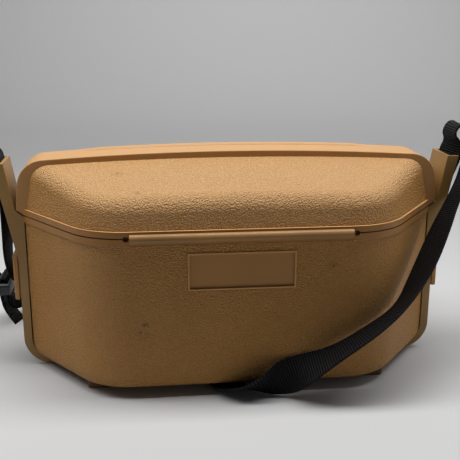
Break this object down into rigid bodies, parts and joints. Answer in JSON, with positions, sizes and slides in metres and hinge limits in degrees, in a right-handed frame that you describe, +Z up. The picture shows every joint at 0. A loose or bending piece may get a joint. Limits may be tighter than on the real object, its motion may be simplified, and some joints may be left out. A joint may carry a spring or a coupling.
{
  "type": "camera case",
  "caption": "Moulded hard camera case with a forward-opening hinged lid, rear draw latch, central carry frame, foam compartments, four feet and a long webbing strap.",
  "frame": {"origin": "on the ground, under the middle of the case without its strap", "axes": "+X along the case's width to the right, +Y from the hinged front to the latched rear, +Z up"},
  "size_m": [0.3966, 0.2365, 0.1839],
  "materials": {
    "body": "fine leather grain, satin rim",
    "lid": "fine leather grain, satin rim and band",
    "hinge": "smooth",
    "frame": "smooth satin",
    "bridge": "smooth satin",
    "lock": "smooth",
    "foot": "smooth",
    "rivet": "satin",
    "latch": "satin",
    "pin": "ground",
    "webbing": "ribbed nylon webbing",
    "slider": "smooth",
    "foam": "closed-cell foam faced with cloth"
  },
  "bodies": {
    "case": {"body_shell": "body", "living_hinge": "hinge", "carry_frame": "frame", "strap_bridge_left": "bridge", "strap_bridge_right": "bridge", "bridge_lock_left": "lock", "bridge_lock_right": "lock", "foot_front_left": "foot", "foot_front_right": "foot", "foot_rear_left": "foot", "foot_rear_right": "foot", "belt_rivets": "rivet", "latch_rivets": "rivet", "latch_base": "latch", "latch_pin": "pin", "strap": "webbing", "strap_slider": "slider", "floor_pad": "foam", "wall_liner": "foam", "divider_left": "foam", "divider_right": "foam", "divider_cross": "foam"},
    "lid": {"lid_shell": "lid", "lid_pad": "foam"},
    "latch": {"latch_lever": "latch"}
  },
  "joints": [
    {"name": "lid_hinge", "type": "hinge", "parent": "case", "child": "lid", "pos_m": [0, -0.088, 0.12], "axis": [1, 0, 0], "range_deg": [0, 95], "deforming": ["living_hinge"]},
    {"name": "latch_pivot", "type": "hinge", "parent": "case", "child": "latch", "pos_m": [0, 0.09, 0.088], "axis": [1, 0, 0], "range_deg": [0, 180]}
  ]
}
